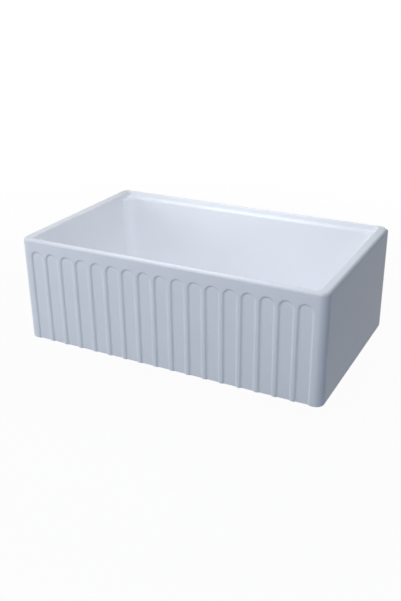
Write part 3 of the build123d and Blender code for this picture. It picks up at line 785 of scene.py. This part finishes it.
def white_nylon():
    """Moulded nylon: milky white and satin, with faint clouds."""
    material, tree, place = new_material("white_nylon")
    NYLON, SHADE = "#ECEBE4", "#DEDCD2"
    cloud = add_node(tree, "TexNoise", Vector=place, Scale=patches(5), Detail=2.0)
    colour = add_node(tree, "Mix", Factor=cloud.outputs["Fac"], A=linear(NYLON),
                      B=linear(SHADE), data_type="RGBA")
    bump = add_node(tree, "Bump", Strength=0.2, Distance=0.1 * MM,
                    Height=cloud.outputs["Fac"])
    finish_material(tree, add_node(
        tree, "BsdfPrincipled", Base_Color=colour.outputs["Result"], Roughness=0.4,
        IOR=1.53, Normal=bump.outputs["Normal"]))
    return material


chrome = chromed_brass()
mesh_of("nylon_washer", [ring("tailpiece_washer", TAIL_BORE, 0.4)], "sink",
        white_nylon(), ["tailpiece_washer"])
tube = turned(rounded([
    (TAIL_BORE, TAIL_TOP, 0.3), (TAIL_FLANGE, TAIL_TOP, 0.4),
    (TAIL_FLANGE, TAIL_FLANGE_UNDER, 0.4), (TAIL_RADIUS, TAIL_FLANGE_UNDER, 0.3),
    (TAIL_RADIUS, TAIL_END, 0.6), (TAIL_BORE, TAIL_END, 0.6)]))
mesh_of("tail_tube", [tube], "sink", chrome, ["tailpiece"])
coupling = hexagon_nut(COUPLING_HALF, COUPLING_BORE, COUPLING_MOUTH, TAIL_FLANGE_UNDER,
                       COUPLING_LOW, COUPLING_TOP, COUPLING_CHAMFER)
mesh_of("slip_nut", [coupling], "sink", chrome, ["coupling_nut"])

# ============================================================== basket
# A cup pressed from thin stainless sheet, its wall pierced by three rows of sixteen holes
# and its rim turned out and hemmed. It is polished like the strainer that it sits in.

BASKET_SHEET = 0.8
BASKET_LOW, BASKET_RIM = -17.3, 18.7
BASKET_FOOT, BASKET_MOUTH, BASKET_LIP = 30.0, 37.9, 40.3
BASKET_BORE = 4.05
HOLES_ROUND, HOLE_RADIUS, HOLE_SPACING = 16, 2.3, 8.0
HOLE_HEIGHTS = ((BASKET_LOW + BASKET_SHEET + BASKET_RIM) / 2
                + HOLE_SPACING * np.arange(-1, 2))
CELL_COLUMNS = 8            # of the mesh; even, as the middle row is shifted by half
CELL_ROWS = 6
lip_under = BASKET_RIM - 2 * BASKET_SHEET


def basket_wall(height, depth):
    """Radius of the leaning wall: linear in the height, less the depth into the sheet."""
    lean = (BASKET_MOUTH - BASKET_FOOT) / (lip_under - BASKET_LOW)
    return BASKET_FOOT + lean * (height - BASKET_LOW) - depth


def basket_cell(centre_angle, centre_height):
    """One hole and the sheet round it, as a grid from the outer skin through to the inner.

    Rows run round the cell's edge. Columns run inwards over the outer skin to the hole,
    through it, and outwards again over the inner skin.
    """
    across = np.linspace(-1, 1, CELL_COLUMNS + 1)
    up = np.linspace(-1, 1, CELL_ROWS + 1)
    low_right = np.concatenate([np.stack([across, 0 * across - 1], 1)[:-1],
                                np.stack([0 * up + 1, up], 1)[:-1]])
    edge = np.concatenate([low_right, -low_right, low_right[:1]])
    edge = edge * (math.pi / HOLES_ROUND, HOLE_SPACING / 2)
    radius = basket_wall(centre_height, 0)
    away = edge * (radius, 1)
    length = np.linalg.norm(away, axis=1, keepdims=True)
    hole = away / length * HOLE_RADIUS / (radius, 1)
    # eight columns: how far out from the hole to the cell's edge, and how deep
    outward = np.array([1, 0.5, 0.12, 0, 0, 0.12, 0.5, 1])[:, None]
    depth = np.array([0, 0, 0, 0.12, 0.88, 1, 1, 1]) * BASKET_SHEET
    place = hole[:, None] * (1 - outward) + edge[:, None] * outward
    angle = centre_angle + place[..., 0]
    height = centre_height + place[..., 1]
    radius = basket_wall(height, depth)
    return np.stack([radius * np.cos(angle), radius * np.sin(angle), height], 2)


def open_outline(corners, steps=4):
    """The rounded outline without its closing side, from the first corner to the last."""
    return rounded(corners, steps)[steps:-steps - 1]


wall_low = HOLE_HEIGHTS[0] - HOLE_SPACING / 2
wall_high = HOLE_HEIGHTS[-1] + HOLE_SPACING / 2
floor_top = BASKET_LOW + BASKET_SHEET
basket_columns = HOLES_ROUND * CELL_COLUMNS
basket_cells = [basket_cell((step + band % 2 / 2) * 2 * math.pi / HOLES_ROUND, height)
                for band, height in enumerate(HOLE_HEIGHTS) for step in range(HOLES_ROUND)]
basket_rim = turned(open_outline([
    (basket_wall(wall_high, BASKET_SHEET), wall_high, 0),
    (basket_wall(lip_under, BASKET_SHEET), lip_under, 1.5),
    (BASKET_MOUTH - 0.2, BASKET_RIM, 0.7), (BASKET_LIP, BASKET_RIM, 0.75),
    (BASKET_LIP, lip_under, 0.75), (basket_wall(lip_under, 0), lip_under, 0.3),
    (basket_wall(wall_high, 0), wall_high, 0)]), basket_columns)
basket_floor = turned(open_outline([
    (basket_wall(wall_low, 0), wall_low, 0), (BASKET_FOOT, BASKET_LOW, 4),
    (BASKET_BORE, BASKET_LOW, 0.2), (BASKET_BORE, floor_top, 0.2),
    (BASKET_FOOT - BASKET_SHEET, floor_top, 3.2),
    (basket_wall(wall_low, BASKET_SHEET), wall_low, 0)]), basket_columns)
mesh_of("basket", [*basket_cells, basket_rim, basket_floor], "basket",
        polished_stainless, ["basket_cup"])

# ============================================================== stopper under the basket
# A moulded rubber cone closes the drain when the basket is pushed home. A steel washer
# and a small brass nut clamp it to the basket's floor.

SEAL_RADIUS, SEAL_CONE, PLUG_LOW = 30.0, 26.576, -24.5
SEAL_WASHER_LOW = -25.7
SEAL_NUT_HALF, SEAL_NUT_LOW = 6.5, -30.7
SEAL_NUT_CHAMFER = 0.8
COUNTERSINK, COUNTERSINK_DEPTH = 0.4, 0.6   # round the mouth of the nut's bore


def turned_brass():
    """Free-cutting brass as turned: warm yellow, with a light tarnish."""
    material, tree, place = new_material("turned_brass")
    BRASS, TARNISH = "#D9B15A", "#B88E45"
    cloud = add_node(tree, "TexNoise", Vector=place, Scale=patches(4), Detail=4.0)
    colour = add_node(tree, "Mix", Factor=cloud.outputs["Fac"], A=linear(BRASS),
                      B=linear(TARNISH), data_type="RGBA")
    bump = add_node(tree, "Bump", Strength=0.2, Distance=0.05 * MM,
                    Height=cloud.outputs["Fac"])
    finish_material(tree, add_node(
        tree, "BsdfPrincipled", Base_Color=colour.outputs["Result"], Metallic=1.0,
        Roughness=0.28, Normal=bump.outputs["Normal"]))
    return material


cone = turned(rounded([
    (BASKET_BORE, BASKET_LOW, 0.1), (SEAL_RADIUS, BASKET_LOW, 1.1),
    (SEAL_RADIUS, CUP_FLOOR, 0.3), (SEAL_CONE, CUP_FLOOR, 0.3),
    (SEAL_CONE - (CUP_FLOOR - PLUG_LOW), PLUG_LOW, 0.8), (BASKET_BORE, PLUG_LOW, 0.1)]))
mesh_of("rubber_cone", [cone], "basket", rubber, ["stopper_seal"])
mesh_of("clamp_washer", [ring("seal_washer", BASKET_BORE, 0.3)], "basket",
        stamped_stainless, ["seal_washer"])
clamp_nut = hexagon_nut(
    SEAL_NUT_HALF, BASKET_BORE, BASKET_BORE + COUNTERSINK, SEAL_NUT_LOW + COUNTERSINK_DEPTH,
    SEAL_NUT_LOW, SEAL_WASHER_LOW, SEAL_NUT_CHAMFER, 72)
mesh_of("pin_nut", [clamp_nut], "basket", turned_brass(), ["seal_nut"])

# ============================================================== post, grip ring and knob
# A post turned from stainless bar: a stem for the knob, a collar on the basket's floor and
# a pin below it. A small rubber ring in the pin's groove drags in the spider's hub and
# holds the basket up. The knob is pressed on the stem and polished.

PIN_RADIUS, PIN_END, GROOVE_RADIUS = 4.0, -44.7, 3.2
GROOVE_LOW, GROOVE_HIGH = -37.2, -34.2
COLLAR_RADIUS, COLLAR_LOW, COLLAR_HIGH = 6.5, -16.5, -14.5
STEM_RADIUS, STEM_END = 3.5, 16.0
KNOB_LOW, KNOB_TOP, KNOB_RADIUS, KNOB_NECK = 9.0, 24.0, 9.5, 5.0
NECK_TOP, HEAD_LOW = 16.5, 17.5
KNOB_BORE = STEM_RADIUS + 0.05

post = turned(open_outline([
    (0, PIN_END, 0), (PIN_RADIUS, PIN_END, 1.4), (PIN_RADIUS, GROOVE_LOW, 0.2),
    (GROOVE_RADIUS, GROOVE_LOW, 0.1), (GROOVE_RADIUS, GROOVE_HIGH, 0.1),
    (PIN_RADIUS, GROOVE_HIGH, 0.2), (PIN_RADIUS, COLLAR_LOW, 0.1),
    (COLLAR_RADIUS, COLLAR_LOW, 0.3), (COLLAR_RADIUS, COLLAR_HIGH, 0.5),
    (STEM_RADIUS, COLLAR_HIGH, 0.5), (STEM_RADIUS, STEM_END, 0.3), (0, STEM_END, 0)]), 48)
mesh_of("post", [post], "basket", stamped_stainless, ["basket_post"])
mesh_of("grip", [ring("grip_ring", GROOVE_RADIUS, 0.45)], "basket",
        rubber, ["grip_ring"])
knob = turned(open_outline([
    (0, STEM_END, 0), (KNOB_BORE, STEM_END, 0), (KNOB_BORE, KNOB_LOW, 0.1),
    (KNOB_NECK, KNOB_LOW, 0.4), (KNOB_NECK, NECK_TOP, 2), (KNOB_RADIUS, HEAD_LOW, 0.9),
    (KNOB_RADIUS, KNOB_TOP, 3), (0, KNOB_TOP, 0)], 6), 64)
mesh_of("pull", [knob], "basket", polished_stainless, ["knob"])

# ============================================================== studio
# A plain white table under the waste, far wider than the picture, in a white room lit by
# soft lamps. It stands a millimetre below the tailpiece.

waste_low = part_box("tailpiece")[0].z
FLOOR_HALF = 6.0            # metres
floor_mesh = bpy.data.meshes.new("studio_floor")
floor_mesh.from_pydata([(-FLOOR_HALF, -FLOOR_HALF, 0), (FLOOR_HALF, -FLOOR_HALF, 0),
                        (FLOOR_HALF, FLOOR_HALF, 0), (-FLOOR_HALF, FLOOR_HALF, 0)],
                       [], [(0, 1, 2, 3)])
floor_mesh.transform(Matrix.Translation((0, 0, waste_low - MM)))
studio_floor = bpy.data.objects.new("studio_floor", floor_mesh)
bpy.context.scene.collection.objects.link(studio_floor)


def background_rays(tree):
    """1 for the rays of the camera, and of metal and glass that mirror the background."""
    path = add_node(tree, "LightPath")
    seen = path.outputs["Is Camera Ray"]
    for kind in ("Is Glossy Ray", "Is Transmission Ray"):
        seen = add_node(tree, "Math", seen, path.outputs[kind],
                        operation="MAXIMUM").outputs[0]
    return seen


def studio_white():
    """A matt pale table that the background's rays see as nearly white.

    A faint shadow stays near the sink, and from two metres out it is all white, so that
    the table's far edge doesn't show.
    """
    material, tree, place = new_material("studio_white")
    matt = add_node(tree, "BsdfDiffuse", Color=linear("#BFC4CC"))
    glow = add_node(tree, "Emission", Color=(1, 1, 1, 1), Strength=1.0)
    away = add_node(tree, "VectorMath", place, operation="LENGTH")
    white = add_node(tree, "MapRange", Value=away.outputs["Value"], From_Min=0.7,
                     From_Max=2.0, To_Min=0.965, To_Max=1.0)
    share = add_node(tree, "Math", background_rays(tree), white.outputs["Result"],
                     operation="MULTIPLY")
    finish_material(tree, add_node(
        tree, "MixShader", share.outputs[0], matt.outputs[0], glow.outputs[0]))
    return material


floor_mesh.materials.append(studio_white())

world = bpy.data.worlds.new("studio")
bpy.context.scene.world = world
world.use_nodes = True
sky = world.node_tree
sky.nodes.clear()
fill = add_node(sky, "Background", Color=(0.33, 0.55, 1, 1), Strength=0.09)
white = add_node(sky, "Background", Color=(1, 1, 1, 1), Strength=1.0)
seen = add_node(sky, "MixShader", background_rays(sky), fill.outputs[0], white.outputs[0])
add_node(sky, "OutputWorld", Surface=seen.outputs[0])


def softbox(name, place, target, size, power, colour):
    """A lamp of the given width and height, in metres, that faces its target."""
    lamp = bpy.data.lights.new(name, "AREA")
    lamp.shape, (lamp.size, lamp.size_y) = "RECTANGLE", size
    lamp.energy, lamp.color = power, linear(colour)[:3]
    holder = bpy.data.objects.new(name, lamp)
    bpy.context.scene.collection.objects.link(holder)
    holder.location = place
    way = Vector(target) - Vector(place)
    holder.rotation_euler = way.to_track_quat("-Z", "Y").to_euler()


MIDDLE, LOW_MIDDLE = (0, 0, 0.15), (0, 0, 0.07)
softbox("front_left", (-1.1, -1.8, 1.3), MIDDLE, (0.9, 0.9), 5.5, "#FFFEFE")
softbox("front_high", (0.0, -1.6, 1.9), MIDDLE, (1.0, 1.0), 10.4, "#FFFFFD")
softbox("front_right", (0.8, -1.4, 1.5), MIDDLE, (0.6, 0.6), 7.2, "#E8F3FF")
softbox("left", (-1.7, -1.0, 0.85), MIDDLE, (0.5, 0.5), 6.2, "#FAFCFF")
softbox("left_low", (-1.7, -1.1, 0.4), MIDDLE, (0.6, 0.6), 4.6, "#F1F7FF")
softbox("bowl_left", (-0.08, 0.0, 0.72), MIDDLE, (0.25, 0.25), 1.1, "#FFFBF0")
softbox("bowl_right", (0.12, 0.0, 0.72), MIDDLE, (0.25, 0.25), 0.6, "#FFFFFF")
softbox("overhead", (0.1, 0.1, 1.9), MIDDLE, (0.8, 0.8), 2.4, "#F2F8FF")
softbox("rear_low", (0.1, 2.2, 0.07), LOW_MIDDLE, (0.9, 0.36), 16.0, "#F7FBFF")

# ============================================================== camera
# Fitted to the outline's corners and straight edges in the picture, which is 601 pixels
# high and 401 wide. It looks down at the sink from the front right.

PICTURE_HEIGHT, FOCAL_PIXELS = 601, 763.42
SENSOR = 36.0               # millimetres along the picture's long side
CAMERA_PLACE = (0.7914, -1.5442, 0.8637)
YAW, PITCH, ROLL = (math.radians(angle) for angle in (-27.75, 24.3, -0.62))

lens = bpy.data.cameras.new("camera")
lens.sensor_width = SENSOR
lens.lens = SENSOR * FOCAL_PIXELS / PICTURE_HEIGHT
camera = bpy.data.objects.new("camera", lens)
bpy.context.scene.collection.objects.link(camera)
ahead = Vector((math.sin(YAW) * math.cos(PITCH), math.cos(YAW) * math.cos(PITCH),
                -math.sin(PITCH)))
level = Vector((math.cos(YAW), -math.sin(YAW), 0))
upward = level.cross(ahead)
right = math.cos(ROLL) * level + math.sin(ROLL) * upward
up = -math.sin(ROLL) * level + math.cos(ROLL) * upward
camera.matrix_world = Matrix.Translation(CAMERA_PLACE) @ Matrix(
    (right, up, -ahead)).transposed().to_4x4()
bpy.context.scene.camera = camera

bpy.context.scene.view_settings.view_transform = "Standard"
